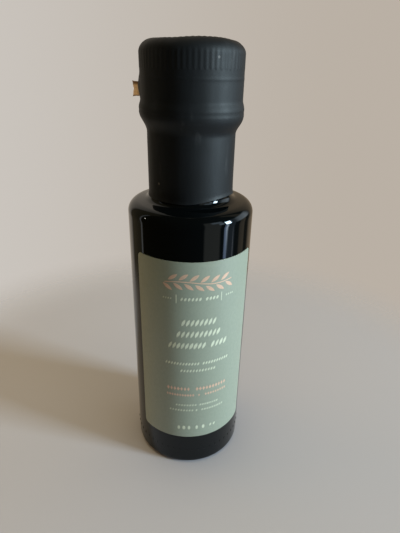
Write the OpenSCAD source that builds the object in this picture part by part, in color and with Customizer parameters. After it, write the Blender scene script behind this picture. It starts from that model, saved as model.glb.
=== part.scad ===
// Small round glass oil bottle with a screw closure under a shrunk film capsule and one
// wrap-round label. +Z up, origin at the middle of the base, label centred on -Y.

/* [Bottle] */
// Outside diameter of the glass body
body_d = 43; // [38:0.5:60]
// Height of the straight wall, up to the start of the shoulder's corner
body_h = 101.7; // [95:0.5:160]
// Radius of the rounded heel where the wall meets the base
heel_r = 2; // [1:0.5:5]
// Radius of the shoulder's corner
shoulder_r = 4; // [2:0.5:6]
// Rise of the shoulder towards the neck, in degrees
shoulder_slope = 9; // [3:1:25]
// Outside diameter of the glass neck
neck_d = 28.2; // [22:0.2:29]
// Length of the neck from the shoulder to the closure's lower edge
neck_h = 23.4; // [12:0.2:40]
// Radius of the fillet between shoulder and neck
neck_fillet = 1; // [0.5:0.25:1.25]
// Width of the flat ring that the bottle stands on
foot_w = 3.5; // [1:0.5:8]
// Height of the hollow under the base
push_up = 1.5; // [0.5:0.25:3]

/* [Closure] */
// Outside diameter of the screw closure under the film
closure_d = 31.5; // [30:0.5:40]
// Height of the screw closure
closure_h = 24; // [20:0.5:30]
// Radius of the closure's top corner
top_r = 4; // [1:0.5:5]
// How far the bead round the closure's skirt stands out
bead_out = 0.7; // [0.2:0.1:1.2]
// Height of the bead's middle above the closure's lower edge
bead_z = 4.4; // [3.5:0.1:6]
// Width of the bead's flat
bead_w = 1.6; // [0.8:0.1:2]
// Number of ribs in the grip band
ribs = 64; // [24:2:90]
// How far the ribs stand out
rib_out = 0.25; // [0.1:0.05:0.5]
// Distance from the closure's top down to the grip band
grip_below = 2.3; // [1:0.1:3]
// Height of the grip band
grip_h = 5.5; // [3:0.1:7]

/* [Film capsule] */
// Thickness of the shrunk film
film_t = 0.15; // [0.1:0.05:0.4]
// Gap between the film and the glass neck
film_gap = 0.05; // [0.02:0.01:0.1]
// Height of the film's cut edge above the neck's root
cut_gap = 1.2; // [1:0.1:4]
// How far below the closure the film starts to flare out
flare_below = 3; // [1:0.1:5]
// Distance from the grip band down to the fine ridge
ridge_below = 2.7; // [1:0.1:3]
// How far the fine ridge stands out
ridge_out = 0.12; // [0.05:0.01:0.3]
// Width of the flat rim round the shallow disc in the top
rim_w = 1; // [0.5:0.1:4]
// Depth of the shallow disc in the top
disc_drop = 0.4; // [0.1:0.1:1]

/* [Tear strip] */
// Direction of the tear strip's end, clockwise from the label's middle seen from above
tear_angle = 103; // [90:1:200]
// Width of the tear strip
tear_w = 4; // [2:0.1:6]
// How far the strip's end stands out from the film
tear_out = 2.2; // [1:0.1:3]
// Thickness of the strip
tear_t = 0.2; // [0.1:0.05:0.4]
// Depth of the notch in the strip's end
tear_notch = 1.2; // [0.4:0.1:2]
// Height of the strip's middle above the closure's lower edge
tear_z = 9.7; // [8:0.1:11]
// How far the film's lifted lip stands out behind the strip
lip_out = 0.8; // [0.3:0.1:1.5]
// How far round the film the lip runs, in degrees
lip_sweep = 14; // [6:1:30]

/* [Label] */
// Width of the label, measured round the glass
label_w = 46; // [20:0.5:90]
// Height of the label
label_h = 76; // [30:0.5:78]
// Height of the label's lower edge
label_z = 15; // [3:0.5:16]
// Radius of the label's corners
label_corner = 1.8; // [0.5:0.1:6]
// Thickness of the label
label_t = 0.13; // [0.1:0.01:0.3]
// Thickness of the glue under the label
glue_t = 0.02; // [0.01:0.01:0.05]

/* [Hidden] */
$fn = 96;

// Bottle
body_r = body_d / 2;
neck_r = neck_d / 2;
corner_r = body_r - shoulder_r;
shoulder_end_r = corner_r + shoulder_r * sin(shoulder_slope);
shoulder_end_z = body_h + shoulder_r * cos(shoulder_slope);
neck_root_z = shoulder_end_z + (shoulder_end_r - neck_r) * tan(shoulder_slope);
closure_z = neck_root_z + neck_h;

// Capsule
bore_r = neck_r + film_gap;
sleeve_r = bore_r + film_t;
film_r = closure_d / 2 + film_t;
cut_z = neck_root_z + cut_gap;
flare_z = closure_z - flare_below;
bead_low_z = closure_z + bead_z - bead_w / 2;
bead_high_z = bead_low_z + bead_w;
bead_fall = 2.4;
waist_z = bead_high_z + bead_fall;
ridge_h = 0.6;
top_z = closure_z + closure_h + film_t;
rim_r = film_r - top_r;
rim_z = top_z - top_r;
disc_r = rim_r - rim_w - disc_drop;
grip_z = closure_z + closure_h - grip_below - grip_h;
steps = 12;

// Tear strip and its lip
tear_mid_z = closure_z + tear_z;
lip_h = 1.7 * tear_w;
root_gap = 0.05;

// Label
label_top = label_z + label_h;
label_sweep = label_w / body_r * 180 / PI;
label_corner_a = asin(label_corner / (body_r + glue_t + label_t));

// Points of an arc round (r, z), from angle a0 to a1
function arc(r, z, radius, a0, a1) =
    [for (i = [0:steps]) let (a = a0 + (a1 - a0) * i / steps) [r + radius * cos(a), z + radius * sin(a)]];

// Points of a smooth step from (r0, z0) to (r1, z1)
function ease(r0, z0, r1, z1) =
    [for (i = [0:steps]) let (t = i / steps) [r0 + (r1 - r0) * (1 - cos(180 * t)) / 2, z0 + (z1 - z0) * t]];

// Points of a low rounded ridge on a wall of radius r, h high and standing out by d
function swell(r, z, d, h) =
    [for (i = [0:steps]) let (t = i / steps) [r + d * sin(180 * t), z + h * (t - 0.5)]];

// A point at an angle round the axis
function polar(r, a) = [r * cos(a), r * sin(a)];

module bottle() {
    foot_r = body_r - heel_r - foot_w;
    fillet = min(neck_fillet, 0.8 * (shoulder_end_r - neck_r));
    fillet_r = neck_r + fillet;
    fillet_z = neck_root_z + fillet * (1 / cos(shoulder_slope) - tan(shoulder_slope));
    dome_r = (foot_r * foot_r + push_up * push_up) / (2 * push_up);
    dome_a = asin(foot_r / dome_r);
    color([0.03, 0.025, 0.015])
        rotate_extrude()
            polygon(concat(
                arc(0, push_up - dome_r, dome_r, 90, 90 - dome_a),
                arc(body_r - heel_r, heel_r, heel_r, -90, 0),
                arc(corner_r, body_h, shoulder_r, 0, 90 - shoulder_slope),
                arc(fillet_r, fillet_z, fillet, 270 - shoulder_slope, 180),
                [[neck_r, closure_z], [0, closure_z]]));
}

// The ribs of the grip band, cut to follow the closure's rounded top
module grip() {
    pitch = 360 / ribs;
    root = film_r - film_t;
    tip = film_r + rib_out;
    intersection() {
        translate([0, 0, grip_z])
            linear_extrude(grip_h)
                polygon([for (i = [0:ribs - 1], p = [[root, 0], [root, 0.3], [tip, 0.5], [tip, 0.8]])
                    polar(p[0], (i + p[1]) * pitch)]);
        rotate_extrude()
            polygon(concat(
                [[0, closure_z], [tip, closure_z]],
                arc(rim_r, rim_z, top_r + rib_out, 0, 90),
                [[0, top_z + rib_out]]));
    }
}

// The film lifted off the closure where the tear strip comes out
module lip() {
    rotate([0, 0, -90 - tear_angle - lip_sweep])
        rotate_extrude(angle = lip_sweep)
            polygon([
                [film_r - film_t, tear_mid_z - lip_h / 2],
                [film_r, tear_mid_z - lip_h / 2],
                [film_r + lip_out, tear_mid_z - tear_w / 2],
                [film_r + lip_out, tear_mid_z + tear_w / 2],
                [film_r, tear_mid_z + lip_h / 2],
                [film_r - film_t, tear_mid_z + lip_h / 2]]);
}

module capsule() {
    color([0.06, 0.065, 0.07]) {
        rotate_extrude()
            polygon(concat(
                [[bore_r, cut_z], [sleeve_r, cut_z]],
                ease(sleeve_r, flare_z, film_r + bead_out, bead_low_z),
                ease(film_r + bead_out, bead_high_z, film_r, waist_z),
                swell(film_r, grip_z - ridge_below, ridge_out, ridge_h),
                arc(rim_r, rim_z, top_r, 0, 90),
                [[disc_r + disc_drop, top_z], [disc_r, top_z - disc_drop], [0, top_z - disc_drop]],
                [[0, closure_z], [bore_r, closure_z]]));
        grip();
        lip();
    }
}

// The strip's free end, laid flat on the lip's end face and notched like a fishtail
module tear_tab() {
    half = tear_w / 2;
    tip = film_r + tear_out;
    color([0.77, 0.6, 0.41])
        rotate([0, 0, -90 - tear_angle])
            translate([0, tear_t, tear_mid_z])
                rotate([90, 0, 0])
                    linear_extrude(tear_t)
                        polygon([
                            [film_r + root_gap, -half],
                            [tip, -half],
                            [tip - tear_notch, 0],
                            [tip, half],
                            [film_r + root_gap, half]]);
}

// What is cut off one corner of the label. The arc is a hair wider than the corner, so that
// it crosses the label's edges.
module label_corner_cut(side, up) {
    over = label_corner + 0.005;
    deep = 2 * label_corner;
    rotate([0, 0, -90 + side * (label_sweep / 2 - label_corner_a)])
        translate([body_r - label_corner, 0, up > 0 ? label_top - label_corner : label_z + label_corner])
            rotate([90, 0, 90])
                scale([side, up, 1])
                    linear_extrude(deep)
                        polygon(concat([[deep, 0]], arc(0, 0, over, 0, 90), [[0, deep], [deep, deep]]));
}

module label() {
    color([0.5, 0.58, 0.5])
        difference() {
            rotate([0, 0, -90 - label_sweep / 2])
                rotate_extrude(angle = label_sweep)
                    translate([body_r + glue_t, label_z])
                        square([label_t, label_h]);
            for (side = [-1, 1], up = [-1, 1])
                label_corner_cut(side, up);
        }
}

bottle();
capsule();
tear_tab();
label();
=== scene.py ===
import math

import bpy
from mathutils import Matrix, Vector, noise


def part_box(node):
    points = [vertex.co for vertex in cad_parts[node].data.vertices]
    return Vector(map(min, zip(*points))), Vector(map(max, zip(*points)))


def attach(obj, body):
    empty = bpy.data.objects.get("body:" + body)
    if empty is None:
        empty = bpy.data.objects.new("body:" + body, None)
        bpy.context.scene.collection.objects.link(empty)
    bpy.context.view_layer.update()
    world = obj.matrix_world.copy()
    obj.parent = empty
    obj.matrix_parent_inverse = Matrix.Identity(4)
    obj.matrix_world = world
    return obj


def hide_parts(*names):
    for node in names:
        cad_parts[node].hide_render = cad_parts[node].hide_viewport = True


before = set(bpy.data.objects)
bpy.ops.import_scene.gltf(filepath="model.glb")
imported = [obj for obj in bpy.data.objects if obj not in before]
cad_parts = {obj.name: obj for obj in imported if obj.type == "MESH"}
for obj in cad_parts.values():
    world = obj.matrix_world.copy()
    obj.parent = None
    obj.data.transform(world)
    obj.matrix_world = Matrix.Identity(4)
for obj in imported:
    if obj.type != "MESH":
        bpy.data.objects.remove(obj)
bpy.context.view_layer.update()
scene = bpy.context.scene
mm = 0.001
print("frame loaded:", ", ".join(sorted(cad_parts)))


def feed(tree, socket, value):
    if isinstance(value, bpy.types.NodeSocket):
        tree.links.new(value, socket)
    else:
        socket.default_value = value


def add(tree, kind, values=None, **settings):
    node = tree.nodes.new(kind)
    for name, value in settings.items():
        setattr(node, name, value)
    for name, value in (values or {}).items():
        feed(tree, node.inputs[name], value)
    return node


def calc(tree, operation, *values):
    node = tree.nodes.new("ShaderNodeMath")
    node.operation = operation
    for index, value in enumerate(values):
        feed(tree, node.inputs[index], value)
    return node.outputs[0]


def fade(tree, value, low, high, toLow=0.0, toHigh=1.0):   # a soft step from low to high
    values = {"Value": value, "From Min": low, "From Max": high, "To Min": toLow, "To Max": toHigh}
    return add(tree, "ShaderNodeMapRange", values, interpolation_type="SMOOTHSTEP").outputs["Result"]


def bump(tree, value, middle, half):   # 1 at the middle, 0 from half away
    away = calc(tree, "ABSOLUTE", calc(tree, "SUBTRACT", value, middle))
    return fade(tree, away, 0.0, half, 1.0, 0.0)


def total(tree, parts):
    result = parts[0]
    for part in parts[1:]:
        result = calc(tree, "ADD", result, part)
    return result


def newTree(name, inputs):
    tree = bpy.data.node_groups.new(name, "GeometryNodeTree")
    kinds = {float: "NodeSocketFloat", int: "NodeSocketInt"}
    tree.interface.new_socket("Geometry", in_out="INPUT", socket_type="NodeSocketGeometry")
    for label, value in inputs.items():
        tree.interface.new_socket(label, in_out="INPUT", socket_type=kinds[type(value)])
    tree.interface.new_socket("Geometry", in_out="OUTPUT", socket_type="NodeSocketGeometry")
    return tree, tree.nodes.new("NodeGroupInput"), tree.nodes.new("NodeGroupOutput")


def closeTree(tree, geometry, output, material):
    real = add(tree, "GeometryNodeRealizeInstances", {"Geometry": geometry})
    paint = add(tree, "GeometryNodeSetMaterial", {"Geometry": real.outputs[0], "Material": material})
    tree.links.new(paint.outputs[0], output.inputs[0])


def runTree(tree, mesh, inputs):   # the tree's result as a plain mesh
    holder = bpy.data.objects.new("holder", mesh)
    scene.collection.objects.link(holder)
    modifier = holder.modifiers.new("shape", "NODES")
    modifier.node_group = tree
    for item in tree.interface.items_tree:
        if item.item_type == "SOCKET" and item.in_out == "INPUT" and item.name in inputs:
            modifier[item.identifier] = inputs[item.name]
    graph = bpy.context.evaluated_depsgraph_get()
    made = bpy.data.meshes.new_from_object(holder.evaluated_get(graph))
    bpy.data.objects.remove(holder)
    return made


def addPiece(name, mesh, material=None, node=None):
    piece = bpy.data.objects.new(name, mesh)
    mesh.name = name
    scene.collection.objects.link(piece)
    if material is not None:
        mesh.materials.clear()
        mesh.materials.append(material)
    mesh.shade_smooth()
    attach(piece, "root")
    if node:
        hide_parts(node)
    return piece


def joinMeshes(name, meshes, material):
    points = []
    faces = []
    for mesh in meshes:
        first = len(points)
        points += [v.co.copy() for v in mesh.vertices]
        faces += [[first + i for i in p.vertices] for p in mesh.polygons]
    whole = bpy.data.meshes.new(name)
    whole.from_pydata(points, [], faces)
    whole.materials.append(material)
    return whole


def arcPoints(middle, radius, fromAngle, toAngle, steps):
    turn = [math.radians(fromAngle + (toAngle - fromAngle) * i / steps) for i in range(steps + 1)]
    return [(middle[0] + radius * math.cos(a), middle[1] + radius * math.sin(a)) for a in turn]


def linePoints(start, end, step):
    count = max(1, math.ceil(math.dist(start, end) / step))
    return [(start[0] + (end[0] - start[0]) * i / count, start[1] + (end[1] - start[1]) * i / count)
            for i in range(count + 1)]


def easePoints(start, end, steps):   # an S-shaped line, upright at both ends
    share = [i / steps for i in range(steps + 1)]
    return [(start[0] + (end[0] - start[0]) * (0.5 - 0.5 * math.cos(math.pi * t)),
             start[1] + (end[1] - start[1]) * t) for t in share]


def curvedSheet(name, layers, rows, cols):   # inner and outer layer of points, closed round the edge
    size = rows * cols
    faces = []
    for i in range(rows - 1):
        for j in range(cols - 1):
            a, b, c, d = i * cols + j, (i + 1) * cols + j, (i + 1) * cols + j + 1, i * cols + j + 1
            faces.append((a, d, c, b))
            faces.append((a + size, b + size, c + size, d + size))
    edge = [i * cols for i in range(rows)] + [(rows - 1) * cols + j for j in range(1, cols)]
    edge += [i * cols + cols - 1 for i in range(rows - 2, -1, -1)] + list(range(cols - 2, 0, -1))
    for a, b in zip(edge, edge[1:] + edge[:1]):
        faces.append((a, b, b + size, a + size))
    mesh = bpy.data.meshes.new(name)
    mesh.from_pydata(layers[0] + layers[1], [], faces)
    return mesh


def lathe(name, profile, sides, shift=None):   # profile points are (radius, height) in millimetres
    same = 1e-4
    outline = [profile[0]]
    for point in profile[1:]:
        if math.dist(point, outline[-1]) > same:
            outline.append(point)
    points = []
    rings = []
    for r, z in outline:
        if r < same:
            rings.append([len(points)])
            points.append((0, 0, z * mm))
            continue
        rings.append(list(range(len(points), len(points) + sides)))
        for i in range(sides):
            a = 2 * math.pi * i / sides
            out = r + (shift(a, r, z) if shift else 0)
            points.append((out * math.sin(a) * mm, -out * math.cos(a) * mm, z * mm))
    faces = []
    for low, high in zip(rings, rings[1:]):
        for i in range(sides):
            j = (i + 1) % sides
            if len(low) == 1:
                faces.append((low[0], high[j], high[i]))
            elif len(high) == 1:
                faces.append((low[i], low[j], high[0]))
            else:
                faces.append((low[i], low[j], high[j], high[i]))
    mesh = bpy.data.meshes.new(name)
    mesh.from_pydata(points, [], faces)
    return mesh


cameraSet = {"place": (-0.0189, -0.1362, 0.1464), "heading": -9.46, "down": 26.04, "roll": 1.39,
             "lens": 27.7, "sensor": 36, "nearest": 0.01}


def makeCamera():
    data = bpy.data.cameras.new("camera")
    data.lens = cameraSet["lens"]
    data.sensor_width = cameraSet["sensor"]
    data.clip_start = cameraSet["nearest"]
    camera = bpy.data.objects.new("camera", data)
    turn = Matrix.Rotation(math.radians(cameraSet["heading"]), 4, "Z")
    tip = Matrix.Rotation(math.radians(90 - cameraSet["down"]), 4, "X")
    roll = Matrix.Rotation(math.radians(cameraSet["roll"]), 4, "Z")
    camera.matrix_world = Matrix.Translation(cameraSet["place"]) @ turn @ tip @ roll
    scene.collection.objects.link(camera)
    scene.camera = camera


makeCamera()


def newMaterial(name, colour, roughness, **sockets):
    material = bpy.data.materials.new(name)
    material.use_nodes = True
    tree = material.node_tree
    shader = tree.nodes["Principled BSDF"]
    shader.inputs["Base Color"].default_value = (*colour, 1)
    shader.inputs["Roughness"].default_value = roughness
    for label, value in sockets.items():
        shader.inputs[label].default_value = value
    place = add(tree, "ShaderNodeTexCoord").outputs["Object"]
    return material, tree, shader, place


def grain(tree, place, scale, detail=3.0, stretch=(1, 1, 1)):
    mapped = add(tree, "ShaderNodeMapping", {"Vector": place, "Scale": stretch}).outputs[0]
    values = {"Vector": mapped, "Scale": scale, "Detail": detail}
    return add(tree, "ShaderNodeTexNoise", values).outputs["Fac"]


def blend(tree, share, first, second):
    node = add(tree, "ShaderNodeMix", data_type="RGBA")
    feed(tree, node.inputs["Factor"], share)
    feed(tree, node.inputs["A"], first if isinstance(first, bpy.types.NodeSocket) else (*first, 1))
    feed(tree, node.inputs["B"], second if isinstance(second, bpy.types.NodeSocket) else (*second, 1))
    return node.outputs["Result"]


def relief(tree, shader, height, strength, distance):
    values = {"Height": height, "Strength": strength, "Distance": distance}
    node = add(tree, "ShaderNodeBump", values)
    tree.links.new(node.outputs[0], shader.inputs["Normal"])


def makeGlass():
    gloss = {"Specular IOR Level": 0.34, "Specular Tint": (0.78, 0.9, 1, 1)}
    material, tree, shader, place = newMaterial("dark glass", (0.001, 0.002, 0.0025), 0.04, **gloss)
    smear = grain(tree, place, 90, 4)   # faint finger smears
    feed(tree, shader.inputs["Roughness"], fade(tree, smear, 0.35, 0.8, 0.03, 0.085))
    cloud = grain(tree, place, 45, 2)
    tone = blend(tree, cloud, (0.0008, 0.0014, 0.0018), (0.0016, 0.0026, 0.0034))
    feed(tree, shader.inputs["Base Color"], tone)
    return material


def makeFilm():
    gloss = {"Specular IOR Level": 0.31, "Specular Tint": (0.86, 0.96, 1, 1)}
    material, tree, shader, place = newMaterial("black film", (0.006, 0.007, 0.0085), 0.6, **gloss)
    cloud = grain(tree, place, 120, 4)
    scuff = grain(tree, place, 260, 6, (1, 1, 0.25))   # drawn out upwards, as the film shrinks
    speck = add(tree, "ShaderNodeTexVoronoi", {"Vector": place, "Scale": 190.0}).outputs
    dot = fade(tree, speck["Distance"], 0.045, 0.10, 1.0, 0.0)
    draw = add(tree, "ShaderNodeSeparateColor", {"Color": speck["Color"]}).outputs[0]
    dust = calc(tree, "MULTIPLY", dot, calc(tree, "GREATER_THAN", draw, 0.86))   # few cells have a speck
    body = blend(tree, cloud, (0.0044, 0.0052, 0.0066), (0.0066, 0.0084, 0.0108))
    rubbed = blend(tree, fade(tree, scuff, 0.62, 0.8, 0.0, 0.5), body, (0.045, 0.047, 0.05))
    feed(tree, shader.inputs["Base Color"], blend(tree, dust, rubbed, (0.10, 0.10, 0.10)))
    feed(tree, shader.inputs["Roughness"], fade(tree, scuff, 0.3, 0.75, 0.52, 0.61))
    fine = grain(tree, place, 2600, 2)
    relief(tree, shader, fine, 0.12, 0.0001)
    return material


def makePaper():
    gloss = {"Specular IOR Level": 0.7}
    material, tree, shader, place = newMaterial("sage paper", (0.26, 0.32, 0.26), 0.42, **gloss)
    fibre = grain(tree, place, 1500, 4, (1, 1, 0.6))
    cloud = grain(tree, place, 80, 3)
    base = blend(tree, cloud, (0.262, 0.312, 0.256), (0.278, 0.330, 0.272))
    fibres = fade(tree, fibre, 0.35, 0.7, 0.0, 0.35)
    feed(tree, shader.inputs["Base Color"], blend(tree, fibres, base, (0.228, 0.280, 0.234)))
    feed(tree, shader.inputs["Roughness"], fade(tree, fibre, 0.3, 0.7, 0.38, 0.46))
    relief(tree, shader, fibre, 0.18, 0.00005)
    return material


def makeInk(name, colour, worn, roughness, metal):
    material, tree, shader, place = newMaterial(name, colour, roughness, Metallic=metal)
    patch = grain(tree, place, 1400, 3)
    rubbed = fade(tree, patch, 0.45, 0.75, 0.0, 0.6)
    feed(tree, shader.inputs["Base Color"], blend(tree, rubbed, colour, worn))
    relief(tree, shader, patch, 0.1, 0.00004)
    return material


def makeStrip():
    material, tree, shader, place = newMaterial("gold tape", (0.95, 0.68, 0.40), 0.36, Metallic=0.5)
    height = add(tree, "ShaderNodeSeparateXYZ", {"Vector": place}).outputs["Z"]
    low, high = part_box("tear_tab")
    away = calc(tree, "ABSOLUTE", calc(tree, "SUBTRACT", height, (low.z + high.z) / 2))
    tall = high.z - low.z
    tip = fade(tree, away, tall * 0.27, tall * 0.5)   # darker towards the upper and lower ends
    crease = grain(tree, place, 900, 3)
    face = blend(tree, crease, (0.92, 0.66, 0.38), (1.0, 0.80, 0.54))
    feed(tree, shader.inputs["Base Color"], blend(tree, tip, face, (0.22, 0.12, 0.04)))
    feed(tree, shader.inputs["Roughness"], fade(tree, crease, 0.3, 0.7, 0.32, 0.46))
    relief(tree, shader, crease, 0.3, 0.0001)
    return material


glass = makeGlass()
film = makeFilm()
paper = makePaper()
creamInk = makeInk("cream ink", (0.62, 0.68, 0.55), (0.50, 0.57, 0.46), 0.5, 0.0)
roseFoil = makeInk("rose foil", (0.72, 0.50, 0.38), (0.58, 0.42, 0.32), 0.42, 0.25)
goldTape = makeStrip()
print("materials ready")


bottleSet = {
    "heel": 2.0, "footInside": 16.0, "footOutside": 19.5, "pushUp": 1.5, "shoulder": 4.0, "slope": 9.0,
    "wallTop": 101.7, "neckRadius": 13.85, "neckFillet": 2.5, "neckTop": 129.69, "sides": 288,
    "uneven": 0.022, "unevenWide": 9, "unevenTall": 22, "calmFoot": 3, "calmTop": 104,
    "tickCount": 54, "tickLow": 6.7, "tickHigh": 8.1, "tickWidth": 0.46, "tickOut": 0.16,
}


def makeBottle():
    b = bottleSet
    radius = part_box("bottle")[1].x / mm
    heel = b["heel"]
    corner = b["shoulder"]
    slope = math.radians(b["slope"])
    top = arcPoints((radius - corner, b["wallTop"]), corner, 0, 90 - b["slope"], 18)
    fillet = b["neckFillet"]
    filletR = b["neckRadius"] + fillet
    filletEnd = filletR - fillet * math.sin(slope)
    filletZ = top[-1][1] + (top[-1][0] - filletEnd) * math.tan(slope) + fillet * math.cos(slope)
    profile = [(b["footInside"] * i / 10, b["pushUp"] * (1 - (i / 10) ** 2)) for i in range(11)]
    profile += linePoints((b["footInside"], 0), (b["footOutside"], 0), 0.8)
    profile += arcPoints((radius - heel, heel), heel, -90, 0, 12)
    profile += linePoints((radius, heel), (radius, b["wallTop"]), 1.2)
    profile += top
    profile += linePoints(top[-1], (filletEnd, filletZ - fillet * math.cos(slope)), 0.4)
    profile += arcPoints((filletR, filletZ), fillet, 270 - b["slope"], 180, 12)
    profile += linePoints((b["neckRadius"], filletZ), (b["neckRadius"], b["neckTop"]), 4)
    profile += [(0, b["neckTop"])]

    def uneven(a, r, z):
        wide = b["unevenWide"]
        spot = Vector((r * math.sin(a) / wide, r * math.cos(a) / wide, z / b["unevenTall"]))
        calm = min(1, max(0, (z - b["calmFoot"]) / 4)) * (1 if z < b["calmTop"] else 0.3)
        return b["uneven"] * noise.noise(spot) * calm

    mesh = lathe("glass_body", profile, b["sides"], uneven)
    return addPiece("glass_body", mesh, glass, "bottle")


def makeTicks():
    b = bottleSet
    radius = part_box("bottle")[1].x
    sizes = {"Count": b["tickCount"], "Ring Radius": radius,
             "Height": (b["tickHigh"] - b["tickLow"]) * mm,
             "Middle": (b["tickHigh"] + b["tickLow"]) / 2 * mm,
             "Width": b["tickWidth"] * mm, "Out": b["tickOut"] * mm}
    tree, start, end = newTree("heel ticks", sizes)
    take = start.outputs
    ring = add(tree, "GeometryNodeMeshCircle", {"Vertices": take["Count"], "Radius": take["Ring Radius"]})
    index = add(tree, "GeometryNodeInputIndex").outputs[0]
    turn = calc(tree, "MULTIPLY", calc(tree, "DIVIDE", index, take["Count"]), 2 * math.pi)
    facing = add(tree, "ShaderNodeCombineXYZ", {"Z": turn})
    lift = add(tree, "ShaderNodeCombineXYZ", {"Z": take["Middle"]})
    placed = add(tree, "GeometryNodeSetPosition",
                 {"Geometry": ring.outputs[0], "Offset": lift.outputs[0]})
    ball = add(tree, "GeometryNodeMeshUVSphere", {"Segments": 10, "Rings": 8, "Radius": 1.0})
    halfWidth = calc(tree, "DIVIDE", take["Width"], 2.0)
    halfHeight = calc(tree, "DIVIDE", take["Height"], 2.0)
    size = add(tree, "ShaderNodeCombineXYZ", {"X": take["Out"], "Y": halfWidth, "Z": halfHeight})
    ticks = add(tree, "GeometryNodeInstanceOnPoints",
                {"Points": placed.outputs[0], "Instance": ball.outputs[0], "Rotation": facing.outputs[0],
                 "Scale": size.outputs[0]})
    closeTree(tree, ticks.outputs[0], end, glass)
    return addPiece("heel_ticks", runTree(tree, bpy.data.meshes.new("none"), sizes), None)


makeBottle()
makeTicks()
print("glass made")


capsuleSet = {
    "cutZ": 107.3, "sleeve": 14.2, "thick": 0.09, "flareLow": 127.3, "flareHigh": 133.0,
    "bead": 16.42, "beadTop": 134.8, "wall": 15.9, "wallLow": 137.29, "corner": 4.0, "rim": 1.0,
    "disc": 10.5, "discDeep": 0.4, "boreTop": 129.72, "boreMiddle": 7, "hem": 2, "sides": 512,
    "drawn": (1, 1, 0.16),   # creases are drawn out upwards
    # how far the cut edge stands off, with the height above it
    "skirt": ((0.26, 0.0), (0.22, 0.12), (0.15, 0.36), (0.08, 0.66), (0.03, 1.0), (0.0, 1.4)),
    # the wall's stretches, as top height and step: finer at the ridge and at the ribs' lower ends
    "wallSteps": ((142.6, 0.5), (143.8, 0.12), (145.3, 0.4), (146.5, 0.12)),
}
capsuleRelief = {   # in millimetres
    "Bore Edge": 14.13, "Skin Edge": 14.19, "Top Low": 152.9, "Top High": 153.6,
    "Rib Out": 0.05, "Rib Low": 145.9, "Rib High": 151.3, "Rib Scallop": 0.35, "Rib Ease": 0.3,
    "Rib Fade Below": 1.6, "Rib Fade Above": 0.4,
    "Ridge Height": 143.19, "Ridge Half": 0.8, "Ridge Out": 0.06,
    "Ring Low": 133.15, "Ring High": 134.65, "Ring Half": 0.42, "Ring Out": 0.07,
    "Wrinkle": 0.16, "Crease": 0.05,
    "Lip Middle": 140.6, "Lip Half": 4.3, "Lip Out": 0.7,
    "Pucker Radius": 11.6, "Pucker Half": 1.3, "Pucker Out": 0.06,
    "Hem Low": 107.6, "Hem High": 112.5, "Hem Rise": 1.45, "Ripple": 0.05,
    "Tilt Height": 131.0, "Tilt Half": 5.5, "Bead Tilt": 0.45,
    "Crown Low": 149.0, "Crown High": 153.4, "Crown Uneven": 0.5, "Top Drop": 0.5, "Peak": 0.42,
    "Lean Low": 107.6, "Lean High": 112.0, "Lean": 0.06,
}
capsuleTurns = {   # counts, degrees of turn and noise scales
    "Rib Count": 64, "Lip Turn": -99.0, "Lip Sweep": 17.0, "Pucker Count": 46.0,
    "Hem Turn": 44.0, "Hem Sweep": 66.0, "Ripple Count": 7.0, "Peak Turn": 10.0, "Peak Sweep": 52.0,
    "Wrinkle Scale": 95.0, "Crease Scale": 420.0, "Seed": 7.0,
}


def capsuleProfile():
    c = capsuleSet
    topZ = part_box("capsule")[1].z / mm
    cornerR = c["wall"] - c["corner"]
    cornerZ = topZ - c["corner"]
    inside = c["sleeve"] - c["thick"]
    hemZ = c["cutZ"] + c["hem"]
    discZ = topZ - c["discDeep"]
    profile = [(0, c["boreTop"]), (c["boreMiddle"], c["boreTop"])]
    profile += linePoints((inside, c["boreTop"]), (inside, hemZ), 6)
    profile += [(inside + out, c["cutZ"] + up) for out, up in reversed(c["skirt"])]
    profile += [(c["sleeve"] + out, c["cutZ"] + up + 0.01) for out, up in c["skirt"]]
    profile += linePoints((c["sleeve"], hemZ), (c["sleeve"], c["flareLow"]), 0.62)
    profile += easePoints((c["sleeve"], c["flareLow"]), (c["bead"], c["flareHigh"]), 18)
    profile += linePoints((c["bead"], c["flareHigh"]), (c["bead"], c["beadTop"]), 0.4)
    profile += easePoints((c["bead"], c["beadTop"]), (c["wall"], c["wallLow"]), 9)
    low = c["wallLow"]
    for high, step in (*c["wallSteps"], (cornerZ, 0.4)):
        profile += linePoints((c["wall"], low), (c["wall"], high), step)
        low = high
    profile += arcPoints((cornerR, cornerZ), c["corner"], 0, 90, 22)
    profile += linePoints((cornerR, topZ), (cornerR - c["rim"], topZ), 0.3)
    profile += easePoints((cornerR - c["rim"], topZ), (c["disc"], discZ), 4)
    profile += linePoints((c["disc"], discZ), (0, discZ), 2.2)
    return profile


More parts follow.
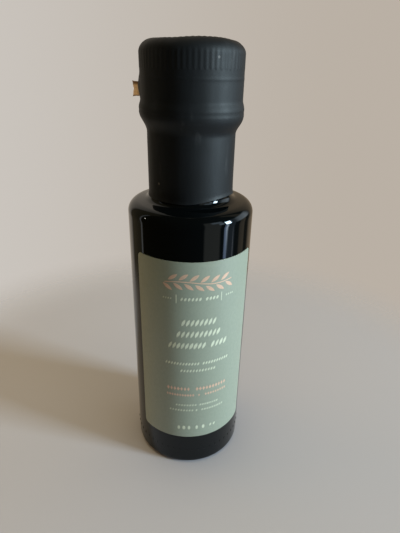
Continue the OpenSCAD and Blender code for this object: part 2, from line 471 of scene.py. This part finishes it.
def makeCapsule():
    inputs = {name: size * mm for name, size in capsuleRelief.items()} | capsuleTurns
    tree, start, end = newTree("film capsule", inputs)
    take = start.outputs

    def minus(first, second):
        return calc(tree, "SUBTRACT", first, second)

    def times(first, *others):
        for other in others:
            first = calc(tree, "MULTIPLY", first, other)
        return first

    def uneven(where, scale, detail):
        values = {"Vector": where, "W": take["Seed"], "Scale": scale, "Detail": detail}
        return minus(add(tree, "ShaderNodeTexNoise", values, noise_dimensions="4D").outputs["Fac"], 0.5)

    place = add(tree, "GeometryNodeInputPosition").outputs[0]
    part = add(tree, "ShaderNodeSeparateXYZ", {"Vector": place}).outputs
    height = part["Z"]
    turn = calc(tree, "ARCTAN2", part["X"], times(part["Y"], -1.0))
    degrees = times(turn, 180 / math.pi)
    radius = calc(tree, "SQRT", total(tree, [times(part["X"], part["X"]), times(part["Y"], part["Y"])]))
    outside = fade(tree, radius, take["Bore Edge"], take["Skin Edge"])   # the bore stays plain
    topPart = fade(tree, height, take["Top Low"], take["Top High"])

    # the grip's ribs, with scalloped lower ends
    wave = calc(tree, "COSINE", times(turn, take["Rib Count"]))
    lowEnd = minus(take["Rib Low"], times(wave, take["Rib Scallop"]))
    lowMask = fade(tree, minus(height, lowEnd), times(take["Rib Ease"], -1.0), take["Rib Ease"])
    fadeLow = minus(take["Rib High"], take["Rib Fade Below"])
    fadeHigh = calc(tree, "ADD", take["Rib High"], take["Rib Fade Above"])
    highMask = fade(tree, height, fadeLow, fadeHigh, 1.0, 0.0)
    crest = calc(tree, "MULTIPLY_ADD", wave, 0.5, 0.5)
    ribs = times(times(crest, take["Rib Out"]), times(lowMask, highMask))

    # the ridge under them and the two rings on the bead
    ridge = times(bump(tree, height, take["Ridge Height"], take["Ridge Half"]), take["Ridge Out"])
    rings = times(calc(tree, "ADD", bump(tree, height, take["Ring Low"], take["Ring Half"]),
                       bump(tree, height, take["Ring High"], take["Ring Half"])), take["Ring Out"])

    # slack in the film, and the lip where the tear strip comes out
    drift = uneven(place, take["Wrinkle Scale"], 1.5)
    wrinkle = times(drift, take["Wrinkle"])
    drawn = add(tree, "ShaderNodeVectorMath", {0: place, 1: capsuleSet["drawn"]},
                operation="MULTIPLY").outputs[0]
    crease = times(uneven(drawn, take["Crease Scale"], 2.0), take["Crease"])
    lipTurn = minus(degrees, take["Lip Turn"])
    lip = times(bump(tree, lipTurn, 0.0, take["Lip Sweep"]),
                bump(tree, height, take["Lip Middle"], take["Lip Half"]), take["Lip Out"])
    out = times(total(tree, [ribs, ridge, rings, lip, wrinkle, crease]),
                times(outside, minus(1.0, topPart)))

    # the puckered rim of the top, the rippled cut edge, the tilted bead and the crown
    pucker = times(times(calc(tree, "COSINE", times(turn, take["Pucker Count"])),
                         bump(tree, radius, take["Pucker Radius"], take["Pucker Half"])),
                   times(topPart, take["Pucker Out"]))
    ripple = times(calc(tree, "SINE", times(turn, take["Ripple Count"])), take["Ripple"])
    raised = times(bump(tree, degrees, take["Hem Turn"], take["Hem Sweep"]), take["Hem Rise"])
    hem = times(calc(tree, "ADD", ripple, raised),
                fade(tree, height, take["Hem Low"], take["Hem High"], 1.0, 0.0))
    nearBead = bump(tree, height, take["Tilt Height"], take["Tilt Half"])
    slump = times(times(calc(tree, "SINE", turn), nearBead), times(take["Bead Tilt"], -1.0))
    peak = times(bump(tree, degrees, take["Peak Turn"], take["Peak Sweep"]), take["Peak"])
    drop = calc(tree, "ADD", times(drift, take["Crown Uneven"]), minus(peak, take["Top Drop"]))
    sag = times(drop, fade(tree, height, take["Crown Low"], take["Crown High"]))
    lean = times(fade(tree, height, take["Lean Low"], take["Lean High"]), times(take["Lean"], -1.0))

    normal = add(tree, "GeometryNodeInputNormal").outputs[0]
    push = add(tree, "ShaderNodeVectorMath", {0: normal, "Scale": out}, operation="SCALE").outputs[0]
    upward = total(tree, [hem, sag, pucker, slump])
    rise = add(tree, "ShaderNodeCombineXYZ", {"X": lean, "Z": upward}).outputs[0]
    both = add(tree, "ShaderNodeVectorMath", {0: push, 1: rise}, operation="ADD").outputs[0]
    moved = add(tree, "GeometryNodeSetPosition", {"Geometry": take["Geometry"], "Offset": both})
    closeTree(tree, moved.outputs[0], end, film)
    base = lathe("film base", capsuleProfile(), capsuleSet["sides"])
    return addPiece("film_capsule", runTree(tree, base, inputs), None, "capsule")


makeCapsule()
print("capsule made")


stripSet = {"turn": -96.0, "inner": 15.95, "outer": 18.55, "middle": 139.75, "half": 2.3, "notch": 0.45,
            "thick": 0.16, "curl": -1.9, "cup": 0.25, "wave": 0.12, "taper": 0.14, "long": 14, "tall": 14}


def makeStripEnd():
    s = stripSet
    turn = math.radians(s["turn"])
    outward = Vector((math.sin(turn), -math.cos(turn), 0))
    across = Vector((math.cos(turn), math.sin(turn), 0))
    up = Vector((0, 0, 1))
    sheets = [[], []]
    for i in range(s["long"] + 1):
        u = i / s["long"]   # 0 at the film, 1 at the free end
        for j in range(s["tall"] + 1):
            v = 2 * j / s["tall"] - 1   # -1 at the lower edge, 1 at the upper
            torn = 0.9 + 0.1 * math.cos(9 * v)
            reach = s["outer"] - s["inner"] - s["notch"] * (1 - abs(v)) * torn
            r = s["inner"] + reach * u
            bend = s["curl"] * (0.6 * u + u * u) + s["wave"] * u * u * math.sin(4 * v + 0.6)
            bend -= s["cup"] * u * u * v * v
            z = s["middle"] + v * s["half"] * (1 - s["taper"] * (1 - u))
            z += s["wave"] * u * math.sin(5 * u + v)
            for k in (0, 1):
                off = bend + s["thick"] * (k - 0.5)
                sheets[k].append((outward * r + across * off + up * z) * mm)
    mesh = curvedSheet("strip_end", sheets, s["long"] + 1, s["tall"] + 1)
    return addPiece("strip_end", mesh, goldTape, "tear_tab")


makeStripEnd()
print("tear strip made")


labelSet = {"wide": 46.0, "low": 15.0, "high": 91.0, "corner": 1.8, "inner": 21.52, "outer": 21.65,
            "rows": 60, "columns": 72, "cornerSteps": 8}


def makeLabel():
    n = labelSet
    half = n["wide"] / 2
    corner = n["corner"]
    flat = half - corner
    steps = n["cornerSteps"]
    quarter = [math.radians(90 - 90 * i / steps) for i in range(steps + 1)]
    left = [(-flat - corner * math.sin(t), corner - corner * math.cos(t)) for t in quarter]
    middle = [(-flat + 2 * flat * i / n["columns"], 0) for i in range(1, n["columns"])]
    columns = left + middle + [(-s, drop) for s, drop in reversed(left)]
    sheets = [[], []]
    for k, r in enumerate((n["inner"], n["outer"])):
        for s, drop in columns:
            a = s / n["outer"]
            for j in range(n["rows"] + 1):
                z = n["low"] + drop + (n["high"] - n["low"] - 2 * drop) * j / n["rows"]
                sheets[k].append((r * math.sin(a) * mm, -r * math.cos(a) * mm, z * mm))
    mesh = curvedSheet("label_sheet", sheets, len(columns), n["rows"] + 1)
    piece = addPiece("label_sheet", mesh, paper, "label")
    mesh.set_sharp_from_angle(angle=math.radians(40))   # the cut edge stays crisp
    return piece


# the powers that bend a disc into a mark's outline, across and along
leafShape = (2.0, 1.0)
barShape = (0.35, 0.35)
dotShape = (1.0, 1.0)
gemShape = (2.0, 2.0)
# each row: ink, middle height, left end and right end along the label, marks, width, height, tilt, shape
printRows = [
    ("cream", 77.6, -7.45, -7.25, 1, 0.3, 3.4, 0, barShape),
    ("cream", 77.6, 8.15, 8.35, 1, 0.3, 3.4, 0, barShape),
    ("cream", 77.6, -5.6, 0.6, 6, 0.75, 1.5, 24, leafShape),
    ("cream", 77.6, 2.9, 6.6, 4, 0.75, 1.5, 24, leafShape),
    ("cream", 77.6, -11.9, -9.3, 4, 0.4, 0.8, 24, leafShape),
    ("cream", 77.6, 10.2, 12.8, 4, 0.4, 0.8, 24, leafShape),
    ("cream", 68.4, -5.0, 5.9, 8, 1.0, 3.0, 24, leafShape),
    ("cream", 63.65, -6.7, 7.6, 10, 1.0, 3.0, 24, leafShape),
    ("cream", 58.85, -9.7, 2.3, 9, 1.0, 3.0, 24, leafShape),
    ("cream", 58.85, 5.6, 10.6, 4, 1.0, 3.0, 24, leafShape),
    ("cream", 51.0, -11.2, 0.4, 12, 0.62, 1.5, 24, leafShape),
    ("cream", 51.0, 2.4, 12.0, 10, 0.62, 1.5, 24, leafShape),
    ("cream", 47.9, -5.6, 6.6, 12, 0.62, 1.4, 24, leafShape),
    ("rose", 39.4, -10.6, -3.0, 7, 1.0, 1.8, 0, gemShape),
    ("rose", 39.4, 0.2, 11.5, 10, 1.0, 1.8, 0, gemShape),
    ("rose", 36.4, -10.9, -1.2, 11, 0.8, 1.3, 0, gemShape),
    ("rose", 36.4, 1.0, 1.4, 1, 0.7, 1.1, 0, gemShape),
    ("rose", 36.4, 3.6, 11.8, 9, 0.8, 1.3, 0, gemShape),
    ("cream", 31.5, -7.4, -0.2, 8, 0.55, 1.1, 24, leafShape),
    ("cream", 31.5, 1.6, 8.4, 8, 0.55, 1.1, 24, leafShape),
    ("cream", 28.9, -9.8, -1.4, 9, 0.55, 1.1, 24, leafShape),
    ("cream", 28.9, 0.2, 0.6, 1, 0.55, 1.1, 24, leafShape),
    ("cream", 28.9, 2.4, 10.8, 9, 0.55, 1.1, 24, leafShape),
    ("cream", 19.9, -6.6, -2.6, 3, 1.1, 1.9, 0, dotShape),
    ("cream", 19.9, 0.4, 3.0, 2, 1.1, 1.9, 0, dotShape),
    ("cream", 19.9, 6.0, 7.6, 2, 0.7, 1.5, 24, leafShape),
]
# how far the middle of the ink stands off the paper, its depth, and how much the marks' widths vary
printSet = {"clear": 0.005, "thick": 0.04, "uneven": 0.12}
# the row tree's inputs, filled in from each row
rowInputs = {"Count": 1, "Left": 0.0, "Right": 0.0, "Height": 0.0, "Mark Wide": 0.0, "Mark Tall": 0.0,
             "Tilt": 0.0, "Side Power": 1.0, "End Power": 1.0, "Radius": 0.0, "Thick": 0.0,
             "Uneven": 0.0, "Seed": 1}


def wrapRound(tree, geometry, radius):   # bends a flat print round the upright axis
    place = add(tree, "GeometryNodeInputPosition").outputs[0]
    part = add(tree, "ShaderNodeSeparateXYZ", {"Vector": place}).outputs
    turn = calc(tree, "DIVIDE", part["X"], radius)
    far = calc(tree, "ADD", part["Z"], radius)
    bent = add(tree, "ShaderNodeCombineXYZ", {
        "X": calc(tree, "MULTIPLY", far, calc(tree, "SINE", turn)),
        "Y": calc(tree, "MULTIPLY", far, calc(tree, "MULTIPLY", calc(tree, "COSINE", turn), -1.0)),
        "Z": part["Y"]}).outputs[0]
    return add(tree, "GeometryNodeSetPosition", {"Geometry": geometry, "Position": bent}).outputs[0]


def makeMark(tree, wide, tall, thick, sidePower, endPower, corners=12, rings=1):
    disc = add(tree, "GeometryNodeMeshCylinder",
               {"Vertices": corners, "Fill Segments": rings, "Radius": 1.0, "Depth": thick},
               fill_type="TRIANGLE_FAN" if rings > 1 else "NGON")
    part = add(tree, "ShaderNodeSeparateXYZ",
               {"Vector": add(tree, "GeometryNodeInputPosition").outputs[0]}).outputs

    def shaped(value, power, size):
        reach = calc(tree, "POWER", calc(tree, "ABSOLUTE", value), power)
        return calc(tree, "MULTIPLY", calc(tree, "MULTIPLY", calc(tree, "SIGN", value), reach),
                    calc(tree, "DIVIDE", size, 2.0))

    outline = add(tree, "ShaderNodeCombineXYZ", {"X": shaped(part["X"], sidePower, wide),
                                                "Y": shaped(part["Y"], endPower, tall), "Z": part["Z"]})
    return add(tree, "GeometryNodeSetPosition",
               {"Geometry": disc.outputs["Mesh"], "Position": outline.outputs[0]}).outputs[0]


def rowTree():
    tree, start, end = newTree("print row", rowInputs)
    take = start.outputs
    line = add(tree, "GeometryNodeMeshLine", {"Count": take["Count"]}, mode="END_POINTS")
    feed(tree, line.inputs["Start Location"],
         add(tree, "ShaderNodeCombineXYZ", {"X": take["Left"], "Y": take["Height"]}).outputs[0])
    feed(tree, line.inputs["Offset"],
         add(tree, "ShaderNodeCombineXYZ", {"X": take["Right"], "Y": take["Height"]}).outputs[0])
    mark = makeMark(tree, take["Mark Wide"], take["Mark Tall"], take["Thick"],
                    take["Side Power"], take["End Power"])
    low = calc(tree, "SUBTRACT", 1.0, take["Uneven"])
    high = calc(tree, "ADD", 1.0, take["Uneven"])
    # sockets 2 and 3 are the plain number's lowest and highest
    draw = add(tree, "FunctionNodeRandomValue", {2: low, 3: high, "Seed": take["Seed"]},
               data_type="FLOAT")
    size = add(tree, "ShaderNodeCombineXYZ", {"X": draw.outputs[1], "Y": 1.0, "Z": 1.0}).outputs[0]
    tilt = calc(tree, "MULTIPLY", take["Tilt"], -math.pi / 180)
    lean = add(tree, "ShaderNodeCombineXYZ", {"Z": tilt}).outputs[0]
    marks = add(tree, "GeometryNodeInstanceOnPoints",
                {"Points": line.outputs[0], "Instance": mark, "Rotation": lean, "Scale": size})
    flat = add(tree, "GeometryNodeRealizeInstances", {"Geometry": marks.outputs[0]}).outputs[0]
    closeTree(tree, wrapRound(tree, flat, take["Radius"]), end, creamInk)
    return tree


sprigInputs = {"Leaves": 13, "Left": -11.4 * mm, "Right": 12.0 * mm, "End Gap": 1.0 * mm,
               "Height": 83.5 * mm, "Swing": 0.55 * mm, "Stem Wide": 0.34 * mm,
               "Leaf Long": 3.9 * mm, "Leaf Wide": 1.25 * mm, "Leaf Tilt": 36.0, "Leaf Out": 1.7 * mm,
               "Radius": 0.0, "Thick": 0.0}


def sprigTree():
    tree, start, end = newTree("olive sprig", sprigInputs)
    take = start.outputs
    span = calc(tree, "SUBTRACT", take["Right"], take["Left"])
    middle = calc(tree, "MULTIPLY", calc(tree, "ADD", take["Left"], take["Right"]), 0.5)

    def swing(along):
        share = calc(tree, "DIVIDE", calc(tree, "SUBTRACT", along, take["Left"]), span)
        wave = calc(tree, "SINE", calc(tree, "MULTIPLY", share, 2 * math.pi))
        return calc(tree, "MULTIPLY", wave, take["Swing"])

    def alongNow():
        here = add(tree, "GeometryNodeInputPosition").outputs[0]
        return add(tree, "ShaderNodeSeparateXYZ", {"Vector": here}).outputs["X"]

    stemSize = add(tree, "ShaderNodeCombineXYZ", {"X": span, "Y": take["Stem Wide"], "Z": take["Thick"]})
    stem = add(tree, "GeometryNodeMeshCube",
               {"Size": stemSize.outputs[0], "Vertices X": 80, "Vertices Y": 2, "Vertices Z": 2})
    shiftStem = add(tree, "ShaderNodeCombineXYZ", {"X": middle, "Y": take["Height"]}).outputs[0]
    stemThere = add(tree, "GeometryNodeSetPosition", {"Geometry": stem.outputs[0], "Offset": shiftStem})
    wavy = add(tree, "ShaderNodeCombineXYZ", {"Y": swing(alongNow())}).outputs[0]
    stemDone = add(tree, "GeometryNodeSetPosition",
                   {"Geometry": stemThere.outputs[0], "Offset": wavy}).outputs[0]

    # the leaves stand on each side of the stem by turns
    leaf = makeMark(tree, take["Leaf Long"], take["Leaf Wide"], take["Thick"],
                    sidePower=1.0, endPower=2.0, corners=20, rings=5)
    line = add(tree, "GeometryNodeMeshLine", {"Count": take["Leaves"]}, mode="END_POINTS")
    tips = {"Start Location": calc(tree, "ADD", take["Left"], take["End Gap"]),
            "Offset": calc(tree, "SUBTRACT", take["Right"], take["End Gap"])}
    for socket, x in tips.items():
        tip = add(tree, "ShaderNodeCombineXYZ", {"X": x, "Y": take["Height"]})
        feed(tree, line.inputs[socket], tip.outputs[0])
    index = add(tree, "GeometryNodeInputIndex").outputs[0]
    flip = calc(tree, "SUBTRACT", calc(tree, "MULTIPLY", calc(tree, "MODULO", index, 2.0), 2.0), 1.0)
    aside = calc(tree, "ADD", swing(alongNow()), calc(tree, "MULTIPLY", flip, take["Leaf Out"]))
    offset = add(tree, "ShaderNodeCombineXYZ", {"Y": aside}).outputs[0]
    points = add(tree, "GeometryNodeSetPosition", {"Geometry": line.outputs[0], "Offset": offset})
    lean = calc(tree, "MULTIPLY", calc(tree, "MULTIPLY", flip, take["Leaf Tilt"]), math.pi / 180)
    turn = add(tree, "ShaderNodeCombineXYZ", {"Z": lean}).outputs[0]
    made = add(tree, "GeometryNodeInstanceOnPoints",
               {"Points": points.outputs[0], "Instance": leaf, "Rotation": turn})
    leaves = add(tree, "GeometryNodeRealizeInstances", {"Geometry": made.outputs[0]}).outputs[0]
    join = add(tree, "GeometryNodeJoinGeometry")
    for part in (stemDone, leaves):
        tree.links.new(part, join.inputs[0])
    closeTree(tree, wrapRound(tree, join.outputs[0], take["Radius"]), end, roseFoil)
    return tree


def makePrint():
    radius = (labelSet["outer"] + printSet["clear"]) * mm
    thick = printSet["thick"] * mm
    tree = rowTree()
    made = {"cream": [], "rose": []}
    for number, (ink, z, left, right, count, wide, tall, tilt, shape) in enumerate(printRows):
        inputs = {"Count": count, "Left": left * mm, "Right": right * mm, "Height": z * mm,
                  "Mark Wide": wide * mm, "Mark Tall": tall * mm, "Tilt": float(tilt),
                  "Side Power": shape[0], "End Power": shape[1], "Radius": radius, "Thick": thick,
                  "Uneven": printSet["uneven"], "Seed": number}
        made[ink].append(runTree(tree, bpy.data.meshes.new("none"), inputs))
    sprig = sprigInputs | {"Radius": radius, "Thick": thick}
    made["rose"].append(runTree(sprigTree(), bpy.data.meshes.new("none"), sprig))
    for ink, material in (("cream", creamInk), ("rose", roseFoil)):
        whole = joinMeshes(f"print_{ink}", made[ink], material)
        piece = addPiece(f"print_{ink}", whole, None)
        piece.data.shade_flat()


makeLabel()
makePrint()
print("label made")


facing = -7.9   # the camera's side, in degrees from the label's middle
lightSet = {
    "window": {"turn": 71, "rise": 14, "far": 1.5, "size": (0.30, 0.48), "power": 30.0,
               "colour": (0.80, 0.94, 1.0)},
    "small lamp": {"turn": -88, "rise": 15, "far": 0.8, "size": (0.035, 0.05), "power": 0.10,
                   "colour": (1.0, 0.88, 0.74)},
    "warm fill": {"turn": -106, "rise": 6, "far": 0.6, "size": (0.4, 0.3), "power": 1.1,
                  "colour": (1.0, 0.54, 0.18), "matt": True},
    "ceiling": {"turn": 0, "rise": 90, "far": 0.8, "size": (0.7, 0.7), "power": 3.8,
                "colour": (1.0, 0.81, 0.48), "matt": True},
}
# what stands round the room: middle, half width and softness in degrees of turn, then the lowest and
# the highest degree of rise, and the colour
roomCards = [
    ("wall behind left", -160, 27, 12, -90, 90, (0.54, 0.47, 0.39)),
    ("wall behind right", 158, 26, 12, -90, 90, (0.36, 0.28, 0.19)),
    ("dim corner left", -113, 16, 8, -90, 60, (0.15, 0.12, 0.07)),
    ("door frame", -99, 1.8, 1.8, -60, 40, (0.75, 0.72, 0.70)),
    ("lit board", 40, 15, 5, -60, 36, (0.54, 0.49, 0.40)),
    ("board top", 51, 11, 6, 22, 34, (1.6, 1.8, 1.9)),
    ("window side", 58, 5, 5, 8, 20, (2.4, 2.7, 3.0)),
    ("gleam on the sill", 66.5, 3.0, 2.5, -60, 2, (2.3, 2.8, 3.9)),
    ("bright end of the gleam", 70, 3.0, 2.5, -21.5, 2, (7.5, 8.2, 9.0)),
    ("curtain", 79, 8, 4, -60, 30, (0.27, 0.30, 0.34)),
    ("slit in the curtain", 84, 0.7, 1.0, -60, -21, (1.6, 1.6, 1.7)),
    ("window jamb", 108, 8, 5, -60, 60, (0.34, 0.27, 0.18)),
    ("far wall", 108, 17, 18, 0, 26, (1.45, 1.6, 1.7)),
]
riseSoft = 4.0   # softness of a card's upper and lower edge, in degrees of rise
roomDark = (0.036, 0.027, 0.012)
wallSeen = ((0.60, 0.565, 0.525), (0.49, 0.435, 0.375))   # the pale wall, left and right


def direction(turn, rise):
    a = math.radians(turn + facing)
    e = math.radians(rise)
    return Vector((math.sin(a) * math.cos(e), -math.cos(a) * math.cos(e), math.sin(e)))


def makeLights():
    middle = Vector((0, 0, 0.09))   # a little above half the bottle's height
    for name, lamp in lightSet.items():
        data = bpy.data.lights.new(name, "AREA")
        data.shape = "RECTANGLE"
        data.size, data.size_y = lamp["size"]
        data.energy = lamp["power"]
        data.color = lamp["colour"]
        light = bpy.data.objects.new(name, data)
        away = direction(lamp["turn"], lamp["rise"])
        light.location = middle + away * lamp["far"]
        light.rotation_euler = away.to_track_quat("Z", "Y").to_euler()
        light.visible_glossy = not lamp.get("matt", False)   # a matt light gives no glints
        scene.collection.objects.link(light)


floorSet = {"half": 1, "under": 0.00005, "fadeFrom": 0.12, "fadeTo": 0.20}   # it melts into the wall


def makeFloor():
    mesh = bpy.data.meshes.new("floor")
    half = floorSet["half"]
    corners = [(x * half, y * half, -floorSet["under"]) for x, y in ((-1, -1), (1, -1), (1, 1), (-1, 1))]
    mesh.from_pydata(corners, [], [(0, 1, 2, 3)])
    floor = bpy.data.objects.new("floor", mesh)
    scene.collection.objects.link(floor)
    matt = {"Specular IOR Level": 0.0}
    material, tree, shader, place = newMaterial("plain floor", (0.44, 0.45, 0.47), 0.9, **matt)
    tone = blend(tree, grain(tree, place, 6, 2), (0.435, 0.445, 0.50), (0.455, 0.465, 0.52))
    feed(tree, shader.inputs["Base Color"], tone)
    away = add(tree, "ShaderNodeVectorMath", {0: place}, operation="LENGTH").outputs["Value"]
    gone = fade(tree, away, floorSet["fadeFrom"], floorSet["fadeTo"])
    clear = add(tree, "ShaderNodeBsdfTransparent")
    mixed = add(tree, "ShaderNodeMixShader", {0: gone, 1: shader.outputs[0], 2: clear.outputs[0]})
    tree.links.new(mixed.outputs[0], tree.nodes["Material Output"].inputs["Surface"])
    mesh.materials.append(material)


def makeWorld():
    world = bpy.data.worlds.new("room")
    scene.world = world
    world.use_nodes = True
    tree = world.node_tree
    way = add(tree, "ShaderNodeTexCoord").outputs["Generated"]
    part = add(tree, "ShaderNodeSeparateXYZ", {"Vector": way}).outputs
    around = calc(tree, "ARCTAN2", part["X"], calc(tree, "MULTIPLY", part["Y"], -1.0))
    turn = calc(tree, "MULTIPLY", around, 180 / math.pi)
    rise = calc(tree, "MULTIPLY", calc(tree, "ARCSINE", part["Z"]), 180 / math.pi)
    room = add(tree, "ShaderNodeRGB").outputs[0]
    room.default_value = (*roomDark, 1)
    for name, middle, half, soft, low, high, colour in roomCards:
        off = calc(tree, "WRAP", calc(tree, "SUBTRACT", turn, middle + facing), 180.0, -180.0)
        across = fade(tree, calc(tree, "ABSOLUTE", off), half - soft / 2, half + soft / 2, 1.0, 0.0)
        below = fade(tree, rise, low - riseSoft, low + riseSoft)
        above = fade(tree, rise, high - riseSoft, high + riseSoft, 1.0, 0.0)
        share = calc(tree, "MULTIPLY", across, calc(tree, "MULTIPLY", below, above))
        room = blend(tree, share, room, colour)
    seen = add(tree, "ShaderNodeLightPath").outputs["Is Camera Ray"]
    wall = blend(tree, fade(tree, part["X"], -0.5, 0.5), *wallSeen)
    feed(tree, tree.nodes["Background"].inputs["Color"], blend(tree, seen, room, wall))


makeLights()
makeFloor()
makeWorld()
scene.view_settings.view_transform = "Standard"
print("lights ready")
